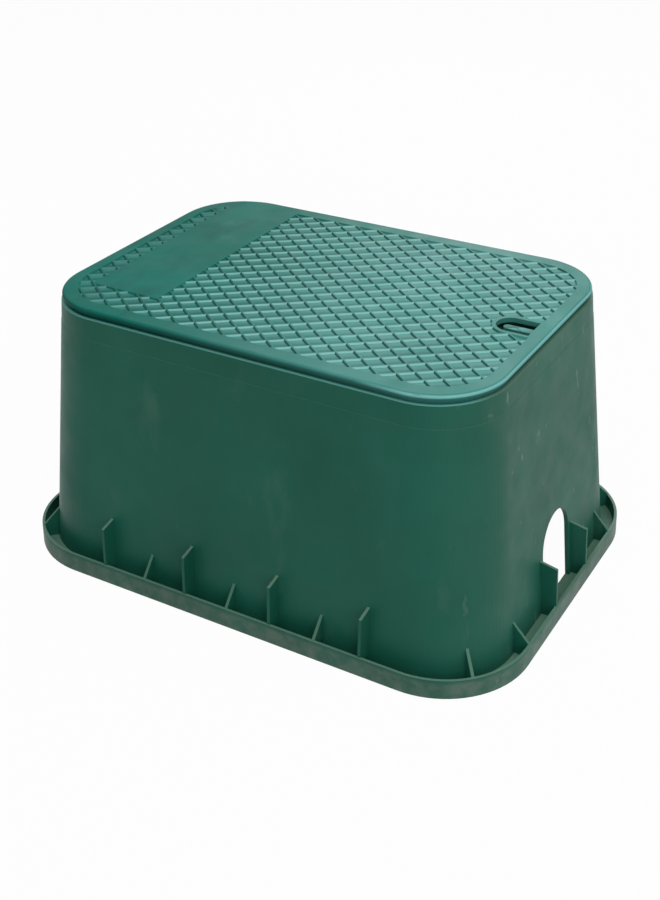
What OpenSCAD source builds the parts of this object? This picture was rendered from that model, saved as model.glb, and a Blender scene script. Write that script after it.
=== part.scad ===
// Rectangular irrigation valve box: a leaning, ribbed box body with pipe arches and a
// turned-up base flange, and a drop-in lid with a rhombic tread and a lift slot.
// Millimetres. The length lies along X, the lift slot at +X, the ground at z = 0.

/* [Box body] */
// Height over all, from the ground to the top of the lid
box_h = 305; // [250:1:380]
// Length over the top rim
rim_l = 503; // [470:1:560]
// Width over the top rim
rim_w = 352; // [330:1:400]
// Outside corner radius of the top rim
rim_r = 75; // [60:1:90]
// Outside corner radius of the wall at the ground
foot_r = 80; // [65:1:95]
// How far an end wall leans out between rim and ground
lean_x = 30.5; // [20:0.5:36]
// How far a side wall leans out between rim and ground
lean_y = 24.5; // [20:0.5:36]
// Thickness of the walls
wall = 4.5; // [3:0.5:6]

/* [Rim and ledge] */
// Height of the collar, from the witness line on the wall up to the rim
collar_h = 22.5; // [16:0.5:30]
// Step of the wall at the witness line
collar_step = 0.2; // [0.1:0.1:1.5]
// Depth of the pocket that the lid drops into
pocket_d = 20; // [14:0.5:26]
// Width of the ledge that carries the lid
ledge_w = 12; // [8:0.5:20]
// Thickness of the ledge
ledge_t = 5; // [4:0.5:8]

/* [Base flange] */
// Width of the flange outside the wall
flange_w = 17.2; // [14:0.2:26]
// Thickness of the flange plate
flange_t = 6; // [4:0.5:9]
// Height of the turned-up lip above the ground
lip_h = 21.5; // [16:0.5:30]
// Thickness of the lip at its top
lip_t = 3; // [2.5:0.5:4]
// Lean of the lip's outer face
lip_draft = 1; // [0.5:0.25:2]

/* [Gussets] */
// Spacing of the gussets along a side wall
gusset_pitch = 52.7; // [48:0.1:58]
// Thickness of a gusset
gusset_t = 3.2; // [2.4:0.2:5]
// Height of a low gusset on the wall
low_gusset_h = 42; // [34:1:60]
// Height of a tall gusset on the wall
tall_gusset_h = 70; // [62:1:90]
// Fall of a tall gusset's top from the wall to its outer edge
tall_gusset_fall = 4; // [2:0.5:10]
// Lean of a tall gusset's outer edge
tall_gusset_lean = 2.6; // [1:0.2:5]
// Distance of an end wall's tall gussets from the middle
end_tall_y = 42; // [40:1:50]
// Distance of an end wall's low gussets from the middle
end_low_y = 114; // [90:1:120]

/* [Pipe arches] */
// Width of the arch in each end wall
arch_w = 70; // [50:1:74]
// Height of the arch's crown above the ground
arch_h = 105; // [90:1:140]

/* [Lid] */
// Rise of the lid's top above the rim
lid_rise = 10; // [7:0.2:12]
// Inset of the lid's edge from the rim's outer face
brow_inset = 1.5; // [1:0.5:3.5]
// Gap between the rim and the underside of the lid's brow
brow_gap = 0.5; // [0.3:0.1:1.5]
// Radius of the lid's rounded top edge
edge_r = 3.2; // [1.6:0.2:4]
// Lean of the lid's edge, inwards from its widest place down to the brow's underside
brow_lean = 3.5; // [1:0.5:5]
// Thickness of the lid's plate inside its brow
plate_t = 5; // [4:0.5:7]
// Clearance between the lid's skirt and the pocket
skirt_gap = 1.5; // [0.8:0.1:3]
// Thickness of the lid's skirt
skirt_t = 3.5; // [2.5:0.5:5]
// Thickness of the stiffening ribs under the lid
rib_t = 3; // [2:0.5:4]
// Depth of the stiffening ribs under the lid's plate
rib_d = 16; // [10:0.5:18]
// Stiffening ribs that run across the lid
ribs_across = 5; // [3:1:7]
// Stiffening ribs that run along the lid
ribs_along = 4; // [2:2:6]

/* [Tread] */
// Depth of the rhombic pockets between the tread's ridges
tread_d = 1.5; // [0.8:0.1:2]
// Plain margin between the tread and the lid's ends
end_margin = 15; // [12:0.5:20]
// Plain margin between the tread and the lid's sides
side_margin = 18; // [12:0.5:22]
// Spacing of the pockets along the lid
pocket_pitch_x = 28.14; // [24:0.1:36]
// Spacing of the pockets across the lid
pocket_pitch_y = 20.87; // [16:0.1:28]
// Width of a ridge at its top
ridge_top = 1.6; // [1:0.2:3]
// Lean of each ridge flank, from top to foot
ridge_draft = 1.3; // [0.6:0.1:1.8]
// Offset of the pattern along the lid
tread_x = 4; // [-14:0.1:14]
// Offset of the pattern across the lid
tread_y = 1.5; // [-10:0.1:10]

/* [Plain panel] */
// Distance from the lid's middle to the panel's inner edge
panel_in = 132; // [120:1:150]
// Distance from the lid's middle to the panel's outer edge
panel_out = 216; // [190:1:222]
// Distance from the lid's middle to the panel's front edge
panel_front = 118; // [80:1:130]

/* [Lift slot] */
// Length of the lift slot
slot_l = 39.4; // [34:0.2:46]
// Width of the lift slot
slot_w = 31.2; // [26:0.2:36]
// Width of the plain band round the lift slot
slot_band = 4; // [3:0.5:8]
// Width of the tongue in the lift slot
tongue_w = 9; // [7:0.5:11]
// Gap between the tongue's free end and the slot's round end
tongue_gap = 7.2; // [5:0.2:10]
// Depth of the tongue's top below the lid's top
tongue_drop = 3; // [2.4:0.2:3.6]

/* [Hidden] */
$fn = 96;
plastic_green = [0.24, 0.42, 0.36];
lid_green = [0.36, 0.56, 0.52];
// Straight steps in a quarter turn of the wall's outline
corner_steps = 24;
// How far a cutting solid runs past a face, and how deep joined solids overlap
cut = 1;
weld = 0.5;

// Heights of the rim, the ledge and the foot of the collar
rim_z = box_h - lid_rise;
ledge_z = rim_z - pocket_d;
collar_z = rim_z - collar_h;
// The wall's outline grows with a straight lean from the rim down to the ground
function wall_l(z) = rim_l + 2 * lean_x * (1 - z / rim_z);
function wall_w(z) = rim_w + 2 * lean_y * (1 - z / rim_z);
function wall_r(z) = rim_r + (foot_r - rim_r) * (1 - z / rim_z);
foot_l = wall_l(0);
foot_w = wall_w(0);
// The pocket inside the rim, and the mouth that the ledge leaves open
pocket_l = rim_l - 2 * wall;
pocket_w = rim_w - 2 * wall;
pocket_r = rim_r - wall;
// Undersides of the lid's brow and of its plate, and the lid's outline
brow_z = rim_z + brow_gap;
plate_z = box_h - plate_t;
lid_l = rim_l - 2 * brow_inset;
lid_w = rim_w - 2 * brow_inset;
lid_r = rim_r - brow_inset;
// The skirt drops inside the pocket and stands on the ledge
skirt_l = pocket_l - 2 * skirt_gap;
skirt_w = pocket_w - 2 * skirt_gap;
skirt_r = pocket_r - skirt_gap;
// The tread follows the lid's outline inside its plain margin
tread_l = lid_l - 2 * end_margin;
tread_w = lid_w - 2 * side_margin;
tread_r = lid_r - (end_margin + side_margin) / 2;
tread_floor = box_h - tread_d;
slot_end = tread_l / 2 - 1.5;
slot_start = slot_end - slot_l;
slot_r = slot_w / 2;
// Reach of a leaning flank below the pockets' floor and above the lid's top
flank_low = ridge_draft / tread_d * (tread_d + cut);
flank_high = ridge_draft / tread_d * 2 * cut;
// Two families of ridges run along the sides of the pockets
ridge_angle = atan(pocket_pitch_y / pocket_pitch_x);
ridge_pitch = pocket_pitch_y * cos(ridge_angle);
ridge_reach = norm([tread_l, tread_w]) / 2 + pocket_pitch_x;
ridge_count = ceil(ridge_reach / ridge_pitch);

// Rounded rectangle about the origin
module rounded(l, w, r) {
    for (x = [-1, 1], y = [-1, 1])
        translate([x * (l / 2 - r), y * (w / 2 - r)]) circle(r);
    square([l - 2 * r, w], center = true);
    square([l, w - 2 * r], center = true);
}

// Points of a rounded rectangle at the height z, anticlockwise from +X
function outline(l, w, r, z) = [
    for (quarter = [0:3], i = [0:corner_steps])
        let (a = 90 * (quarter + i / corner_steps),
             x = (quarter == 0 || quarter == 3) ? 1 : -1,
             y = quarter < 2 ? 1 : -1)
        [x * (l / 2 - r) + r * cos(a), y * (w / 2 - r) + r * sin(a), z]
];

// Solid that blends from a low outline to a high one
module loft(low, high) {
    n = len(low);
    polyhedron(
        points = concat(low, high),
        faces = concat(
            [[for (i = [0:n - 1]) i]],
            [[for (i = [n - 1:-1:0]) n + i]],
            [for (i = [0:n - 1]) [i, n + i, n + (i + 1) % n, (i + 1) % n]]
        )
    );
}

// Wall between two heights, drawn in by an inset
module leaning_block(z0, z1, inset) {
    loft(
        outline(wall_l(z0) - 2 * inset, wall_w(z0) - 2 * inset, wall_r(z0) - inset, z0),
        outline(wall_l(z1) - 2 * inset, wall_w(z1) - 2 * inset, wall_r(z1) - inset, z1)
    );
}

// Sweeps a profile round a rounded rectangle: the profile's x points outward
module around(l, w, r) {
    for (k = [0:3]) {
        along = k % 2 == 0 ? w : l;
        out = k % 2 == 0 ? l : w;
        rotate(90 * k) translate([out / 2, along / 2 - r, 0]) {
            rotate([90, 0, 0]) linear_extrude(along - 2 * r) children();
            translate([-r, 0, 0]) rotate_extrude(angle = 90) translate([r, 0]) children();
        }
    }
}

// L-shaped section of the base flange and its lip, from the wall's outer face
module flange_section() {
    lip_out = flange_w - lip_draft;
    polygon([
        [-wall / 2, 0],
        [flange_w, 0],
        [lip_out, lip_h],
        [lip_out - lip_t, lip_h],
        [lip_out - lip_t, flange_t],
        [-wall / 2, flange_t]
    ]);
}

// Upright plate whose outline is drawn with x outward and y up
module upright(t) {
    rotate([90, 0, 0]) translate([0, 0, -t / 2]) linear_extrude(t) children();
}

// Low gusset: a sloping web from the wall's foot and face out to the lip
module low_gusset(foot, face) {
    upright(gusset_t) polygon([
        [foot - wall / 2, flange_t / 2],
        [face - wall / 2, low_gusset_h],
        [face, low_gusset_h],
        [foot + flange_w - lip_draft - lip_t / 2, lip_h - weld],
        [foot + flange_w - lip_draft - lip_t / 2, flange_t / 2]
    ]);
}

// Tall gusset: a web with a near-upright outer edge that stands on the lip
module tall_gusset(foot, face) {
    edge = foot + flange_w - lip_draft - lip_t / 2;
    upright(gusset_t) polygon([
        [foot - wall / 2, flange_t / 2],
        [face - wall / 2, tall_gusset_h],
        [face, tall_gusset_h],
        [edge - tall_gusset_lean, tall_gusset_h - tall_gusset_fall],
        [edge, lip_h - weld],
        [edge, flange_t / 2]
    ]);
}

// Tall and low gussets take turns along each side wall
module side_gussets() {
    for (side = [-90, 90], i = [-3:3]) {
        x = i * gusset_pitch;
        rotate(side) translate([0, -sign(side) * x, 0])
            if (i % 2 == 0) low_gusset(foot_w / 2, wall_w(low_gusset_h) / 2);
            else tall_gusset(foot_w / 2, wall_w(tall_gusset_h) / 2);
    }
}

// Two tall gussets flank the arch of each end wall, with a low one beyond each
module end_gussets() {
    for (end = [0, 180], y = [-1, 1]) rotate(end) {
        translate([0, y * end_tall_y, 0])
            tall_gusset(foot_l / 2, wall_l(tall_gusset_h) / 2);
        translate([0, y * end_low_y, 0])
            low_gusset(foot_l / 2, wall_l(low_gusset_h) / 2);
    }
}

// One low gusset stands at 45 degrees on each corner
module corner_gussets() {
    lean = foot_r - wall_r(low_gusset_h);
    drift = ((foot_l - wall_l(low_gusset_h)) / 2 - lean
             + (foot_w - wall_w(low_gusset_h)) / 2 - lean) / sqrt(2);
    for (x = [-1, 1], y = [-1, 1])
        translate([x * (foot_l / 2 - foot_r), y * (foot_w / 2 - foot_r), 0])
            rotate(atan2(y, x)) low_gusset(foot_r, wall_r(low_gusset_h) - drift);
}

// Round-headed opening for a pipe, through both end walls down to the flange
module pipe_arches() {
    spring_z = arch_h - arch_w / 2;
    inside = rim_l / 2 - ledge_w - wall - cut;
    depth = foot_l / 2 + cut - inside;
    for (end = [0, 180]) rotate(end) translate([inside, 0, 0]) {
        translate([0, 0, spring_z]) rotate([0, 90, 0]) cylinder(h = depth, d = arch_w);
        translate([0, -arch_w / 2, flange_t]) cube([depth, arch_w, spring_z - flange_t]);
    }
}

// Room inside the body: the leaning cavity, the mouth in the ledge and the lid's pocket
module body_room() {
    leaning_block(-cut, ledge_z - ledge_t, wall);
    translate([0, 0, ledge_z - ledge_t - cut]) linear_extrude(ledge_t + 2 * cut)
        rounded(pocket_l - 2 * ledge_w, pocket_w - 2 * ledge_w, pocket_r - ledge_w);
    translate([0, 0, ledge_z]) linear_extrude(pocket_d + cut)
        rounded(pocket_l, pocket_w, pocket_r);
}

// Collar round the top of the body, a little inside the wall below it
module collar() {
    loft(
        outline(wall_l(collar_z) - 2 * collar_step, wall_w(collar_z) - 2 * collar_step,
                wall_r(collar_z) - collar_step, collar_z - cut),
        outline(rim_l, rim_w, rim_r, rim_z)
    );
}

// Box body, moulded in one piece
module box_body() {
    color(plastic_green) difference() {
        union() {
            leaning_block(0, collar_z, 0);
            collar();
            around(foot_l, foot_w, foot_r) flange_section();
            side_gussets();
            end_gussets();
            corner_gussets();
        }
        body_room();
        pipe_arches();
    }
}

// Section of the lid's brow with its rounded edge, x measured from the lid's outline
module brow_section() {
    width = 2 * edge_r;
    polygon([
        [-width, brow_z],
        [-brow_lean, brow_z],
        [0, box_h - edge_r],
        [-width, box_h - edge_r]
    ]);
    translate([-width, brow_z]) square([width - edge_r, box_h - brow_z]);
    translate([-edge_r, box_h - edge_r]) circle(edge_r);
}

// Plate inside a deeper brow that overhangs the rim
module lid_plate() {
    inset = 2 * edge_r - weld;
    translate([0, 0, plate_z]) linear_extrude(plate_t)
        rounded(lid_l - 2 * inset, lid_w - 2 * inset, lid_r - inset);
    around(lid_l, lid_w, lid_r) brow_section();
}

// Skirt that stands on the ledge inside the pocket
module lid_skirt() {
    translate([0, 0, ledge_z]) linear_extrude(plate_z - ledge_z + weld) difference() {
        rounded(skirt_l, skirt_w, skirt_r);
        rounded(skirt_l - 2 * skirt_t, skirt_w - 2 * skirt_t, skirt_r - skirt_t);
    }
}

// Grid of stiffening ribs between the skirt's walls
module lid_ribs() {
    span_l = skirt_l - skirt_t;
    span_w = skirt_w - skirt_t;
    translate([0, 0, plate_z - rib_d]) linear_extrude(rib_d + weld) {
        for (i = [1:ribs_across])
            translate([(i / (ribs_across + 1) - 0.5) * span_l, 0])
                square([rib_t, span_w], center = true);
        for (i = [1:ribs_along])
            translate([0, (i / (ribs_along + 1) - 0.5) * span_w])
                square([span_l, rib_t], center = true);
    }
}

// One family of ridges with leaning flanks, run to the left or to the right
module ridges(hand) {
    top = ridge_top / 2;
    translate([tread_x, tread_y, 0]) rotate(hand * ridge_angle)
        for (i = [-ridge_count:ridge_count])
            translate([-ridge_reach, (i + 0.5) * ridge_pitch, 0]) rotate([90, 0, 90])
                linear_extrude(2 * ridge_reach) polygon([
                    [-top - flank_low, -cut],
                    [top + flank_low, -cut],
                    [top, tread_d],
                    [top, tread_d + 2 * cut],
                    [-top, tread_d + 2 * cut],
                    [-top, tread_d]
                ]);
}

// Leaning flank all round the tread
module tread_rim() {
    around(tread_l, tread_w, tread_r) polygon([
        [-flank_low, -cut],
        [3 * cut, -cut],
        [3 * cut, tread_d + 2 * cut],
        [flank_high, tread_d + 2 * cut]
    ]);
}

// Plain panel with a leaning flank on three sides, open to the margin at the back
module plain_panel() {
    intersection() {
        translate([0, tread_w, 0]) rotate([90, 0, 0]) linear_extrude(2 * tread_w) polygon([
            [-panel_out - flank_low, -cut],
            [-panel_in + flank_low, -cut],
            [-panel_in - flank_high, tread_d + 2 * cut],
            [-panel_out + flank_high, tread_d + 2 * cut]
        ]);
        translate([-tread_l, 0, 0]) rotate([90, 0, 90]) linear_extrude(tread_l) polygon([
            [-panel_front - flank_low, -cut],
            [tread_w, -cut],
            [tread_w, tread_d + 2 * cut],
            [-panel_front + flank_high, tread_d + 2 * cut]
        ]);
    }
}

// Plain band with a leaning flank round the lift slot
module slot_surround() {
    reach = slot_r + slot_band;
    translate([slot_start + slot_r, 0, 0]) {
        translate([0, 0, -cut])
            cylinder(h = tread_d + 3 * cut, r1 = reach + flank_low, r2 = reach - flank_high);
        rotate([90, 0, 90]) linear_extrude(slot_l) polygon([
            [-reach - flank_low, -cut],
            [reach + flank_low, -cut],
            [reach - flank_high, tread_d + 2 * cut],
            [-reach + flank_high, tread_d + 2 * cut]
        ]);
    }
}

// Rhombic pockets that leave the ridges standing, level with the plain margin
module tread_pockets() {
    translate([0, 0, tread_floor]) difference() {
        linear_extrude(tread_d + cut)
            rounded(tread_l + 2 * cut, tread_w + 2 * cut, tread_r + cut);
        ridges(1);
        ridges(-1);
        tread_rim();
        plain_panel();
        slot_surround();
    }
}

// Outline of the lift slot, round at its inner end
module slot_outline() {
    translate([slot_start + slot_r, 0]) circle(slot_r);
    translate([slot_start + slot_r, -slot_r])
        square([slot_end - slot_start - slot_r, slot_w]);
}

// Bar in the lift slot for a finger or a hook
module slot_tongue() {
    start = slot_start + tongue_gap + tongue_w / 2;
    translate([0, 0, brow_z]) linear_extrude(box_h - tongue_drop - brow_z) {
        translate([start, 0]) circle(d = tongue_w);
        translate([start, -tongue_w / 2]) square([slot_end + weld - start, tongue_w]);
    }
}

// Drop-in lid, moulded in one piece
module lid() {
    color(lid_green) {
        difference() {
            union() {
                lid_plate();
                lid_skirt();
                lid_ribs();
            }
            tread_pockets();
            translate([0, 0, ledge_z - cut]) linear_extrude(box_h) slot_outline();
        }
        slot_tongue();
    }
}

box_body();
lid();
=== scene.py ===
# %% [markdown]
# An irrigation valve box is two plastic mouldings that live in a lawn: a leaning box body that stands
# on a flange, and a lid with a tread that drops into its rim. The solids come ready made from the
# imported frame, so this lesson is about light, camera and the finish of moulded green plastic.

# %% Load the solid model
import bpy
import math
from mathutils import Matrix
from mathutils import Vector


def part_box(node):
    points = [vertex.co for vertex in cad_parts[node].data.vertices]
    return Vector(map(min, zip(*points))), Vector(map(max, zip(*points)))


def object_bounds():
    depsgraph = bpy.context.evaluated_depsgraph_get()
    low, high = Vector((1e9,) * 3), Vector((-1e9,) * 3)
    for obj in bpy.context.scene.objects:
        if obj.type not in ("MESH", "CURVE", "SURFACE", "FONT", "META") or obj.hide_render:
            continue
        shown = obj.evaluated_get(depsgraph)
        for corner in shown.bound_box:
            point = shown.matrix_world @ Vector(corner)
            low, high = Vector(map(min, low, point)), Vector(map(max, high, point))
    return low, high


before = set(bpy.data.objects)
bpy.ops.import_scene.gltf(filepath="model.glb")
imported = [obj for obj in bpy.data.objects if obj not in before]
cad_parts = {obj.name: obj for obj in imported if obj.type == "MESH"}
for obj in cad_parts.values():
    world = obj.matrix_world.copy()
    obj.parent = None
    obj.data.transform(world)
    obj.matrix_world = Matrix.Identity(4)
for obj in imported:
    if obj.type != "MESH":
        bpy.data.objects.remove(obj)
solid_low, solid_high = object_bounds()
box_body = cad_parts["box_body"]
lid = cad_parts["lid"]
print("box", [round(v, 4) for v in solid_high - solid_low], "metres over all")

# %% [markdown]
# Blender measures in metres, so a size given in millimetres is turned into metres by one small
# helper. Anything that belongs to the object is then placed from the solids' own corners.

# %% Millimetres and the object's own levels
def mm(value):
    """A length in millimetres as Blender's metres."""
    return value / 1000


lid_low, lid_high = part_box("lid")
body_low, body_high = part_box("box_body")
rim_height = body_high.z
print("lid", [round(v, 4) for v in lid_high - lid_low], "rim at", round(rim_height, 4))

# %% [markdown]
# The photograph looks at a front corner from above, with the camera about a metre and a half away.
# A camera could be aimed with a constraint, but a bearing, a height angle and a small roll say the
# same thing in plain numbers, and leave nothing to solve.

# %% Camera at the photograph's view
CAMERA_BEARING = math.radians(30.58)
CAMERA_HEIGHT_ANGLE = math.radians(30.98)
CAMERA_ROLL = math.radians(-0.77)
CAMERA_DISTANCE = mm(1439.5)
AIM_RIGHT = mm(1.8)
AIM_DOWN = mm(44.4)
FOCAL_LENGTH = 51.98
SENSOR_LONG_SIDE = 36.0


def looking_back(bearing, height_angle):
    """Unit vector from the aim towards the camera."""
    flat = math.cos(height_angle)
    return Vector((math.sin(bearing) * flat, -math.cos(bearing) * flat, math.sin(height_angle)))


def place_camera():
    """Makes the camera, turned so that the box sits in the frame as it does in the photograph."""
    back = looking_back(CAMERA_BEARING, CAMERA_HEIGHT_ANGLE)
    level_right = (-back).cross(Vector((0, 0, 1))).normalized()
    level_up = level_right.cross(-back)
    right = level_right * math.cos(CAMERA_ROLL) + level_up * math.sin(CAMERA_ROLL)
    up = level_up * math.cos(CAMERA_ROLL) - level_right * math.sin(CAMERA_ROLL)
    middle = (solid_low + solid_high) / 2
    aim = middle + right * AIM_RIGHT - up * AIM_DOWN
    camera = bpy.data.objects.new("camera", bpy.data.cameras.new("camera"))
    bpy.context.scene.collection.objects.link(camera)
    camera.location = aim + back * CAMERA_DISTANCE
    camera.rotation_mode = "QUATERNION"
    turn = [[right[i], up[i], back[i]] for i in range(3)]
    camera.rotation_quaternion = Matrix(turn).to_quaternion()
    camera.data.lens = FOCAL_LENGTH
    camera.data.sensor_width = SENSOR_LONG_SIDE
    bpy.context.scene.camera = camera
    return camera


camera = place_camera()
print("camera at", [round(v, 3) for v in camera.location])

# %% [markdown]
# The picture's ground is plain white. A floor lit until it burns out to white would also throw too
# much light up at the box. So the floor is a pale grey one that is white only where the camera or a
# mirror-like ray sees it, and the world around it does the same. A little of the floor's own shading
# is kept, so the box still has its shadow.

# %% White floor and surroundings
FLOOR_SIZE = 12.0
FLOOR_COLOUR = (0.42, 0.42, 0.42, 1.0)
FLOOR_LIFT = 0.975
FLOOR_GAP = mm(0.1)
PLAIN_WHITE = (1.0, 1.0, 1.0, 1.0)
SURROUND_COLOUR = (0.94, 0.98, 1.0, 1.0)
SURROUND_STRENGTH = 0.25


def add_node(tree, kind, **values):
    """Adds a node and sets its plain properties."""
    node = tree.nodes.new(kind)
    for name, value in values.items():
        setattr(node, name, value)
    return node


def seen_directly(tree):
    """Output that is 1 for the camera and for mirror-like rays, and 0 for other light."""
    path = add_node(tree, "ShaderNodeLightPath")
    either = add_node(tree, "ShaderNodeMath", operation="MAXIMUM")
    tree.links.new(path.outputs["Is Camera Ray"], either.inputs[0])
    tree.links.new(path.outputs["Is Glossy Ray"], either.inputs[1])
    both = add_node(tree, "ShaderNodeMath", operation="MAXIMUM")
    tree.links.new(either.outputs[0], both.inputs[0])
    tree.links.new(path.outputs["Is Transmission Ray"], both.inputs[1])
    return both.outputs[0]


def white_floor_material():
    """Matte pale floor, lifted towards white where it is seen directly."""
    material = bpy.data.materials.new("white_floor")
    material.use_nodes = True
    tree = material.node_tree
    tree.nodes.clear()
    output = add_node(tree, "ShaderNodeOutputMaterial")
    matte = add_node(tree, "ShaderNodeBsdfDiffuse")
    matte.inputs["Color"].default_value = FLOOR_COLOUR
    glow = add_node(tree, "ShaderNodeEmission")
    lift = add_node(tree, "ShaderNodeMath", operation="MULTIPLY")
    lift.inputs[1].default_value = FLOOR_LIFT
    tree.links.new(seen_directly(tree), lift.inputs[0])
    mix = add_node(tree, "ShaderNodeMixShader")
    tree.links.new(lift.outputs[0], mix.inputs["Fac"])
    tree.links.new(matte.outputs["BSDF"], mix.inputs[1])
    tree.links.new(glow.outputs["Emission"], mix.inputs[2])
    tree.links.new(mix.outputs["Shader"], output.inputs["Surface"])
    return material


def lay_floor():
    """One flat square under the flange."""
    half = FLOOR_SIZE / 2
    mesh = bpy.data.meshes.new("floor")
    corners = [(-half, -half, 0), (half, -half, 0), (half, half, 0), (-half, half, 0)]
    mesh.from_pydata(corners, [], [(0, 1, 2, 3)])
    floor = bpy.data.objects.new("floor", mesh)
    bpy.context.scene.collection.objects.link(floor)
    floor.location.z = solid_low.z - FLOOR_GAP
    mesh.materials.append(white_floor_material())
    return floor


def white_surroundings():
    """World that lights softly and is white where it is seen directly."""
    world = bpy.data.worlds.new("white_surroundings")
    bpy.context.scene.world = world
    world.use_nodes = True
    tree = world.node_tree
    tree.nodes.clear()
    output = add_node(tree, "ShaderNodeOutputWorld")
    soft = add_node(tree, "ShaderNodeBackground")
    soft.inputs["Color"].default_value = SURROUND_COLOUR
    soft.inputs["Strength"].default_value = SURROUND_STRENGTH
    white = add_node(tree, "ShaderNodeBackground")
    white.inputs["Color"].default_value = PLAIN_WHITE
    mix = add_node(tree, "ShaderNodeMixShader")
    tree.links.new(seen_directly(tree), mix.inputs["Fac"])
    tree.links.new(soft.outputs["Background"], mix.inputs[1])
    tree.links.new(white.outputs["Background"], mix.inputs[2])
    tree.links.new(mix.outputs["Shader"], output.inputs["Surface"])


floor = lay_floor()
white_surroundings()
print("floor at", round(floor.location.z, 4))

# %% [markdown]
# The lid is lightest of all, the end wall comes next and the long front wall is the darkest side. The
# front gussets have bright tops but dark right faces, so the main light is a wide lamp overhead, and
# the one that lights the end wall stands a little behind the box, where the front wall can't see it.
# A small lamp close to the near corner rounds it off, and a low one at the back adds the lid's sheen.

# %% Soft studio lamps
def add_soft_lamp(name, bearing, height_angle, distance, width, power):
    """Square area lamp that faces the middle of the box."""
    data = bpy.data.lights.new(name, "AREA")
    data.shape = "SQUARE"
    data.size = width
    data.energy = power
    lamp = bpy.data.objects.new(name, data)
    bpy.context.scene.collection.objects.link(lamp)
    back = looking_back(math.radians(bearing), math.radians(height_angle))
    lamp.location = (solid_low + solid_high) / 2 + back * distance
    lamp.rotation_mode = "QUATERNION"
    lamp.rotation_quaternion = (-back).to_track_quat("-Z", "Y")
    return lamp


top_lamp = add_soft_lamp("top_lamp", bearing=26, height_angle=71, distance=2.4, width=1.8, power=36)
side_lamp = add_soft_lamp("side_lamp", bearing=102, height_angle=48, distance=2.4, width=1.1, power=11.5)
corner_lamp = add_soft_lamp("corner_lamp", bearing=48, height_angle=16, distance=1.5, width=0.6, power=3.2)
sheen_lamp = add_soft_lamp("sheen_lamp", bearing=200, height_angle=28, distance=2.4, width=0.8, power=14)
print("lamps:", top_lamp.name, side_lamp.name, corner_lamp.name, sheen_lamp.name)

# %% [markdown]
# The plastics are built from a few small helpers. Every value comes from noise over the surface's own
# place in metres, from that place itself or from the surface's slope, so the finish has the same scale
# everywhere and stays on the object when it is seen from another side.

# %% Helpers that measure the surface
UPWARD = (0, 0, 1)
SLOT_END = (1, 0, 0)


def mapped_noise(tree, scale, detail, stretch=(1, 1, 1)):
    """Noise over the object's own metres, drawn out along an axis by a small stretch value."""
    place = add_node(tree, "ShaderNodeTexCoord")
    mapping = add_node(tree, "ShaderNodeMapping")
    mapping.inputs["Scale"].default_value = stretch
    tree.links.new(place.outputs["Object"], mapping.inputs["Vector"])
    noise = add_node(tree, "ShaderNodeTexNoise")
    noise.inputs["Scale"].default_value = scale
    noise.inputs["Detail"].default_value = detail
    tree.links.new(mapping.outputs["Vector"], noise.inputs["Vector"])
    return noise.outputs["Fac"]


def ramped(tree, source, low, high, low_value=0.0, high_value=1.0):
    """Takes a range of the source to a range of values, and holds it there beyond."""
    span = add_node(tree, "ShaderNodeMapRange")
    span.inputs["From Min"].default_value = low
    span.inputs["From Max"].default_value = high
    span.inputs["To Min"].default_value = low_value
    span.inputs["To Max"].default_value = high_value
    tree.links.new(source, span.inputs["Value"])
    return span.outputs["Result"]


def along(tree, axis):
    """The surface's place along one axis of the object, in metres."""
    place = add_node(tree, "ShaderNodeTexCoord")
    parts = add_node(tree, "ShaderNodeSeparateXYZ")
    tree.links.new(place.outputs["Object"], parts.inputs["Vector"])
    return parts.outputs[axis]


def facing(tree, direction, low=0.93, high=0.98):
    """Output that is 1 on faces turned to a direction, and 0 on those turned away from it."""
    surface = add_node(tree, "ShaderNodeNewGeometry")
    likeness = add_node(tree, "ShaderNodeVectorMath", operation="DOT_PRODUCT")
    tree.links.new(surface.outputs["True Normal"], likeness.inputs[0])
    likeness.inputs[1].default_value = direction
    return ramped(tree, likeness.outputs["Value"], low, high)


def past_core(tree, half_length, half_width):
    """Level distance from a plain rectangle in the middle, which follows the rounded corners."""
    place = add_node(tree, "ShaderNodeTexCoord")
    folded = add_node(tree, "ShaderNodeVectorMath", operation="ABSOLUTE")
    tree.links.new(place.outputs["Object"], folded.inputs[0])
    shifted = add_node(tree, "ShaderNodeVectorMath", operation="SUBTRACT")
    tree.links.new(folded.outputs["Vector"], shifted.inputs[0])
    shifted.inputs[1].default_value = (half_length, half_width, 1.0)
    clipped = add_node(tree, "ShaderNodeVectorMath", operation="MAXIMUM")
    tree.links.new(shifted.outputs["Vector"], clipped.inputs[0])
    length = add_node(tree, "ShaderNodeVectorMath", operation="LENGTH")
    tree.links.new(clipped.outputs["Vector"], length.inputs[0])
    return length.outputs["Value"]


print("measures:", mapped_noise.__name__, along.__name__, facing.__name__, past_core.__name__)

# %% [markdown]
# Wear and painted light are always the same step: a tone is blended into the colour by some amount, and
# only in certain places. One helper does that step, so that each of them is a line or two.

# %% Helpers that blend tones
def combined(tree, operation, first, second):
    """One sum of two values, each given as a number or as another node's output."""
    sum_node = add_node(tree, "ShaderNodeMath", operation=operation)
    for socket, value in ((sum_node.inputs[0], first), (sum_node.inputs[1], second)):
        if isinstance(value, bpy.types.NodeSocket):
            tree.links.new(value, socket)
        else:
            socket.default_value = value
    return sum_node.outputs[0]


def mixed_colour(tree, factor, first, second):
    """Blends two colours, each given as a value or as another node's output."""
    mix = add_node(tree, "ShaderNodeMix", data_type="RGBA")
    tree.links.new(factor, mix.inputs["Factor"])
    for socket, colour in ((mix.inputs[6], first), (mix.inputs[7], second)):
        if isinstance(colour, bpy.types.NodeSocket):
            tree.links.new(colour, socket)
        else:
            socket.default_value = colour
    return mix.outputs[2]


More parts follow.
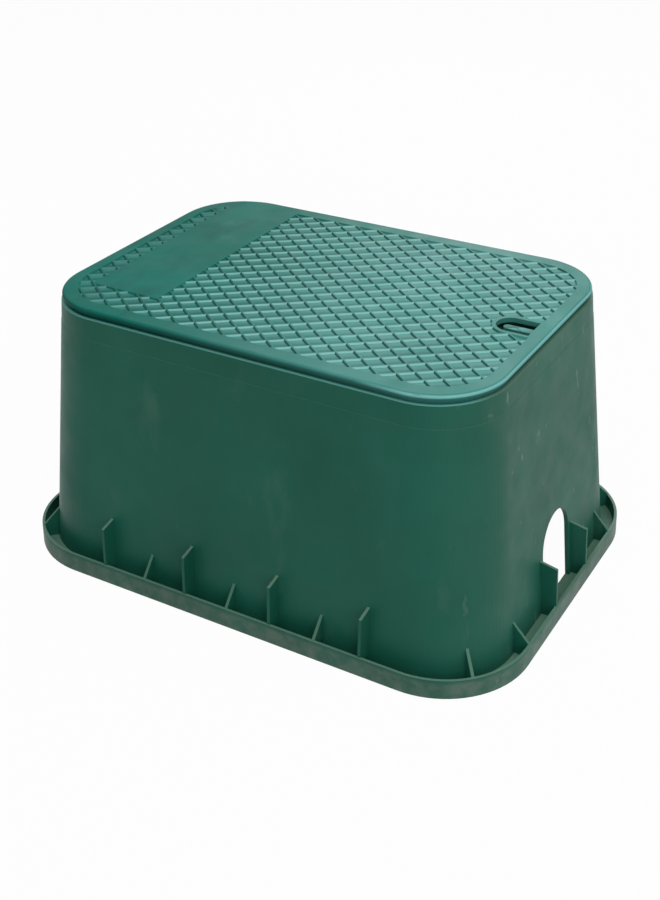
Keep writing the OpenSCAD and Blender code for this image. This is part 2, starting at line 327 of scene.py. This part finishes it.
def tinted(tree, base, tone, amount, *places):
    """Blends a tone into the colour by an amount, only where every one of the places is 1."""
    for place in places:
        amount = combined(tree, "MULTIPLY", amount, place)
    return mixed_colour(tree, amount, base, tone)


def faded_with_painted_sheen(tree, base, look, *places):
    """Fades the colour towards the lift slot in uneven patches, partly as a painted sheen,
    and rubs it pale here and there.
    """
    start, end = look["fade_and_sheen_between"]
    # Part of this fade is a painted sheen, blended in with the chalky tone.
    fade_and_sheen = ramped(tree, along(tree, "X"), low=start, high=end, high_value=look["fade_and_sheen"])
    patch_noise = mapped_noise(tree, scale=16.0, detail=5.0)
    patches = ramped(tree, patch_noise, low=0.3, high=0.7, low_value=0.75, high_value=1.25)
    base = tinted(tree, base, look["chalk_and_highlight_tone"], fade_and_sheen, patches, *places)
    rub_noise = mapped_noise(tree, scale=30.0, detail=6.0, stretch=(1, 1, 0.4))
    rubs = ramped(tree, rub_noise, low=0.62, high=0.85)
    return tinted(tree, base, look["chalk_and_highlight_tone"], look["rubs"], rubs)


print("blends:", combined.__name__, mixed_colour.__name__, tinted.__name__, faded_with_painted_sheen.__name__)

# %% [markdown]
# The tread's pockets lie on a slanted grid, so one dot product tells how far a point is from a ridge.
# The flanks that look at the camera get a painted highlight and a little gloss, less so at the panel's
# end, and the others get painted shade. Each pocket floor gets painted light towards its far side and a
# painted shadow on its near side, and the plain panel is stained.

# %% Wear and painted light of the lid
PITCH_LENGTH = mm(28.14)
PITCH_WIDTH = mm(20.87)
FLANK_REACH = mm(1.3)
POCKET_DEPTH = mm(1.5)
RIDGE_ANGLE = math.atan2(PITCH_WIDTH, PITCH_LENGTH)
RIDGE_SPACING = PITCH_WIDTH * math.cos(RIDGE_ANGLE)
FLANK_RISE = math.atan2(FLANK_REACH, POCKET_DEPTH)
LIT_FLANK = looking_back(RIDGE_ANGLE, FLANK_RISE)
SHADED_FLANK = looking_back(-RIDGE_ANGLE, FLANK_RISE)
TREAD_MIDDLE = Vector((mm(4), mm(1.5), 0))
LID_CORE = {"half_length": mm(176.5), "half_width": mm(101)}
TREAD_REACH = mm(66)
BORDER_START = mm(68)
BORDER_INSIDE = mm(70)


def lid_depth(tree):
    """How far the surface lies below the lid's top, in metres."""
    return combined(tree, "SUBTRACT", lid_high.z, along(tree, "Z"))


def between_ridges(tree, angle):
    """Share of the way from one ridge to the next one behind it, from 0 to 1."""
    place = add_node(tree, "ShaderNodeTexCoord")
    step = Vector((-math.sin(angle), math.cos(angle), 0)) / RIDGE_SPACING
    measured = add_node(tree, "ShaderNodeVectorMath", operation="DOT_PRODUCT")
    tree.links.new(place.outputs["Object"], measured.inputs[0])
    measured.inputs[1].default_value = step
    half_step = 0.5
    shifted = combined(tree, "SUBTRACT", measured.outputs["Value"], step.dot(TREAD_MIDDLE) + half_step)
    return combined(tree, "FRACT", shifted, 0.0)


def lit_flank(tree):
    """Output that is 1 on camera-facing flanks that get a painted highlight, weaker towards the panel,
    else 0.
    """
    in_tread = ramped(tree, past_core(tree, **LID_CORE), low=BORDER_START, high=TREAD_REACH)
    highlight_strength = ramped(tree, along(tree, "X"), low=mm(-215), high=mm(-95), low_value=0.3)
    here = combined(tree, "MULTIPLY", in_tread, highlight_strength)
    return combined(tree, "MULTIPLY", here, facing(tree, LIT_FLANK))


def tread_stains_and_painted_light(tree, base, look):
    """Stains the panel and paints light and shade on the tread's pocket floors and flanks."""
    stain_noise = mapped_noise(tree, scale=26.0, detail=4.0, stretch=(1, 0.4, 1))
    stains = ramped(tree, stain_noise, low=0.48, high=0.66)
    on_panel = ramped(tree, along(tree, "X"), low=mm(-128), high=mm(-134))
    base = tinted(tree, base, look["grime_and_painted_shade"], look["stains"], stains, on_panel)
    low_ground = ramped(tree, lid_depth(tree), low=mm(1.0), high=mm(1.4))
    pocket_floor = combined(tree, "MULTIPLY", low_ground, facing(tree, UPWARD))
    across = between_ridges(tree, RIDGE_ANGLE)
    beside = between_ridges(tree, -RIDGE_ANGLE)
    # Pocket floors get painted light towards their far side, and painted shadow on the near side and
    # beside the other ridges.
    pocket_painted_light = ramped(tree, across, low=0.4, high=0.95)
    base = tinted(tree, base, look["chalk_and_highlight_tone"], look["pocket_painted_light"], pocket_painted_light, pocket_floor)
    near_side = ramped(tree, across, low=0.5, high=0.08, high_value=look["near_side_painted_shadow"])
    left_side = ramped(tree, beside, low=0.84, high=0.95, high_value=look["left_side_painted_shadow"])
    grime_and_painted_shade = combined(tree, "MAXIMUM", near_side, left_side)
    base = tinted(tree, base, look["grime_and_painted_shade"], grime_and_painted_shade, pocket_floor)
    # Painted highlight on the flanks that look at the camera, and painted shade on those turned away.
    base = tinted(tree, base, look["chalk_and_highlight_tone"], look["lit_flank_painted_highlight"], lit_flank(tree))
    return tinted(tree, base, look["grime_and_painted_shade"], look["shaded_flank_painted_shade"], facing(tree, SHADED_FLANK))


def edge_painted_light(tree, base, look):
    """Paints shade on the lower edge of the long sides, and a highlight on the edge near the lift slot."""
    on_edge = ramped(tree, past_core(tree, **LID_CORE), low=BORDER_START, high=BORDER_INSIDE)
    near_slot = ramped(tree, along(tree, "X"), low=mm(130), high=mm(185))
    long_side = ramped(tree, along(tree, "X"), low=mm(185), high=mm(130))
    lower_half = ramped(tree, lid_depth(tree), low=mm(0.8), high=mm(2.4))
    # Painted shade on the lower part of the edge along the long sides.
    base = tinted(tree, base, look["grime_and_painted_shade"], look["edge_painted_shade"], lower_half, long_side, on_edge)
    # Painted highlight on the rounded edge towards the lift slot.
    below_top = ramped(tree, lid_depth(tree), low=mm(0.3), high=mm(1.0))
    above_side = ramped(tree, lid_depth(tree), low=mm(3.4), high=mm(2.6))
    return tinted(tree, base, look["chalk_and_highlight_tone"], look["edge_painted_highlight"], below_top, above_side, near_slot, on_edge)


def lid_wear_and_painted_light(tree, base, look):
    """All that time has done to the lid, with painted light and shade on its tread and edge."""
    base = faded_with_painted_sheen(tree, base, look)
    base = tread_stains_and_painted_light(tree, base, look)
    return edge_painted_light(tree, base, look)


print("ridges", round(RIDGE_SPACING * 1000, 2), "mm apart at", round(math.degrees(RIDGE_ANGLE), 1))

# %% [markdown]
# The body has faded on the end wall below the lift slot, partly as a painted sheen, and the end wall
# has a few scuffs. Faces that look at the sky are chalky, partly as a painted highlight, the rim's top
# has a painted highlight, and the outer face of the lip is dusty.

# %% Wear and painted light of the body
LIP_CORE = {"half_length": mm(202), "half_width": mm(120.5)}


def body_wear_and_painted_light(tree, base, look):
    """All that time has done to the body, with painted sheen on the end wall and painted highlights."""
    # The end wall's fade is partly a painted sheen.
    base = faded_with_painted_sheen(tree, base, look, facing(tree, SLOT_END, low=0.2, high=0.95))
    scuff_noise = mapped_noise(tree, scale=80.0, detail=4.0, stretch=(1, 1, 0.5))
    scuffs = ramped(tree, scuff_noise, low=0.66, high=0.74)
    on_end = facing(tree, SLOT_END, low=0.5, high=0.9)
    base = tinted(tree, base, look["chalk_and_highlight_tone"], look["scuffs"], scuffs, on_end)
    # Faces that look up are paled: partly sun fading, partly a painted highlight.
    skyward = facing(tree, UPWARD, low=0.3, high=0.9)
    base = tinted(tree, base, look["chalk_and_highlight_tone"], look["sunned_and_highlight"], skyward)
    # Painted highlight on the rim's top, which lies in the lid's shade.
    near_rim = ramped(tree, along(tree, "Z"), low=rim_height - mm(2), high=rim_height - mm(1))
    off_the_end = ramped(tree, along(tree, "X"), low=mm(246), high=mm(234))
    base = tinted(tree, base, look["rim_highlight_tone"], look["rim_painted_highlight"], near_rim, off_the_end, skyward)
    foot = ramped(tree, along(tree, "Z"), low=mm(21.4), high=mm(16))
    on_lip = ramped(tree, past_core(tree, **LIP_CORE), low=mm(94.5), high=mm(95.5))
    speck_noise = mapped_noise(tree, scale=60.0, detail=9.0)
    specks = ramped(tree, speck_noise, low=0.38, high=0.64, low_value=0.5, high_value=1.5)
    return tinted(tree, base, look["dust"], look["foot_dust"], foot, on_lip, specks)


print("body wear starts at the rim,", round(rim_height * 1000), "mm up, and ends at the lip")

# %% [markdown]
# Both mouldings are one kind of plastic: deep green that drifts a little over a hand's width, with a
# fine grain from the tool and a slow swell. Only the wear and painted light differ, handed in as a
# function.

# %% Moulded green plastic
GRAIN_STRENGTH = 0.3
GRAIN_HEIGHT = mm(0.2)
SWELL_STRENGTH = 0.25
SWELL_HEIGHT = mm(2.0)


def uneven_skin(tree, shader):
    """Adds the tool's fine grain on top of the moulding's slow swell."""
    grain = add_node(tree, "ShaderNodeBump")
    grain.inputs["Strength"].default_value = GRAIN_STRENGTH
    grain.inputs["Distance"].default_value = GRAIN_HEIGHT
    tree.links.new(mapped_noise(tree, scale=900.0, detail=2.0), grain.inputs["Height"])
    swell = add_node(tree, "ShaderNodeBump")
    swell.inputs["Strength"].default_value = SWELL_STRENGTH
    swell.inputs["Distance"].default_value = SWELL_HEIGHT
    tree.links.new(mapped_noise(tree, scale=14.0, detail=2.0), swell.inputs["Height"])
    tree.links.new(swell.outputs["Normal"], grain.inputs["Normal"])
    tree.links.new(grain.outputs["Normal"], shader.inputs["Normal"])


def moulded_plastic(name, look, wear):
    """Green plastic with colour drift, its own wear and painted light, uneven gloss and an uneven skin."""
    material = bpy.data.materials.new(name)
    material.use_nodes = True
    tree = material.node_tree
    shader = tree.nodes["Principled BSDF"]
    drift = ramped(tree, mapped_noise(tree, scale=9.0, detail=3.0), low=0.35, high=0.68)
    base = mixed_colour(tree, drift, look["deep"], look["light"])
    tree.links.new(wear(tree, base, look), shader.inputs["Base Color"])
    gloss_noise = mapped_noise(tree, scale=34.0, detail=4.0)
    gloss = ramped(tree, gloss_noise, low=0.3, high=0.7, low_value=0.42, high_value=0.55)
    tree.links.new(gloss, shader.inputs["Roughness"])
    shader.inputs["Specular IOR Level"].default_value = look["polish"]
    uneven_skin(tree, shader)
    return material


def polish_flanks(material, look):
    """Makes the lit flanks of the tread shinier than the rest of the lid."""
    tree = material.node_tree
    polish = ramped(tree, lit_flank(tree), 0.0, 1.0, look["polish"], look["flank_polish"])
    tree.links.new(polish, tree.nodes["Principled BSDF"].inputs["Specular IOR Level"])


print("recipe ready:", moulded_plastic.__name__)

# %% [markdown]
# Each moulding has a table of its own tones and amounts, painted light and shade among them. The lid is
# greener and fades over its length, partly as a painted sheen, while the body fades only at its slot end,
# also partly as a painted sheen, and is glossier.

# %% Looks of the body and the lid
body_look = {
    "deep": (0.009, 0.098, 0.064, 1),
    "light": (0.012, 0.121, 0.081, 1),
    # The chalky tone serves for fading and wear and also for painted highlights.
    "chalk_and_highlight_tone": (0.56, 0.62, 0.50, 1),
    "dust": (0.50, 0.47, 0.42, 1),
    # This tone and the rim's amount below paint a highlight on the rim's top.
    "rim_highlight_tone": (0.16, 0.90, 0.86, 1),
    # The fade is partly a painted sheen on the end wall.
    "fade_and_sheen_between": (mm(100), mm(250)),
    "fade_and_sheen": 0.014,
    "rubs": 0.06,
    "scuffs": 0.17,
    # Partly sun fading and partly a painted highlight on faces that look up.
    "sunned_and_highlight": 0.14,
    "rim_painted_highlight": 0.2,
    "foot_dust": 0.13,
    "polish": 0.19,
}
lid_look = {
    "deep": (0.003, 0.112, 0.085, 1),
    "light": (0.005, 0.139, 0.109, 1),
    # The chalky tone serves for fading and wear and also for painted highlights.
    "chalk_and_highlight_tone": (0.36, 0.80, 0.78, 1),
    # The grime tone serves for stains and also for painted shade.
    "grime_and_painted_shade": (0.004, 0.050, 0.040, 1),
    # The fade is partly a painted sheen over the lid's length.
    "fade_and_sheen_between": (mm(-140), mm(80)),
    "fade_and_sheen": 0.13,
    "rubs": 0.05,
    "stains": 0.35,
    # The next seven amounts paint light and shade on the tread's pockets and flanks and on the lid's edge.
    "pocket_painted_light": 0.16,
    "near_side_painted_shadow": 0.5,
    "left_side_painted_shadow": 0.6,
    "lit_flank_painted_highlight": 0.35,
    "shaded_flank_painted_shade": 0.65,
    "edge_painted_shade": 0.45,
    "edge_painted_highlight": 0.4,
    "polish": 0.06,
    "flank_polish": 0.5,
}
body_plastic = moulded_plastic("body_plastic", body_look, body_wear_and_painted_light)
lid_plastic = moulded_plastic("lid_plastic", lid_look, lid_wear_and_painted_light)
polish_flanks(lid_plastic, lid_look)
print("plastics:", body_plastic.name, lid_plastic.name)

# %% [markdown]
# A moulding has no knife-sharp edge. The solids are left as they are, and a narrow bevel modifier
# rounds what is sharp, so that every rib and ridge catches a thin line of light.

# %% Finish the two mouldings
BODY_EDGE_ROUND = mm(0.6)
LID_EDGE_ROUND = mm(0.35)
SHARP_FROM = math.radians(35)


def finish_moulding(moulding, plastic, edge_round):
    """Gives a solid its plastic and softens its sharp edges."""
    moulding.data.materials.clear()
    moulding.data.materials.append(plastic)
    bevel = moulding.modifiers.new("soft_edges", "BEVEL")
    bevel.width = edge_round
    bevel.segments = 2
    bevel.limit_method = "ANGLE"
    bevel.angle_limit = SHARP_FROM
    bevel.harden_normals = True


finish_moulding(box_body, body_plastic, BODY_EDGE_ROUND)
finish_moulding(lid, lid_plastic, LID_EDGE_ROUND)
print("finished:", box_body.name, lid.name)

# %% [markdown]
# The last step keeps colours as they are written.

# %% Close the scene
bpy.context.scene.view_settings.view_transform = "Standard"
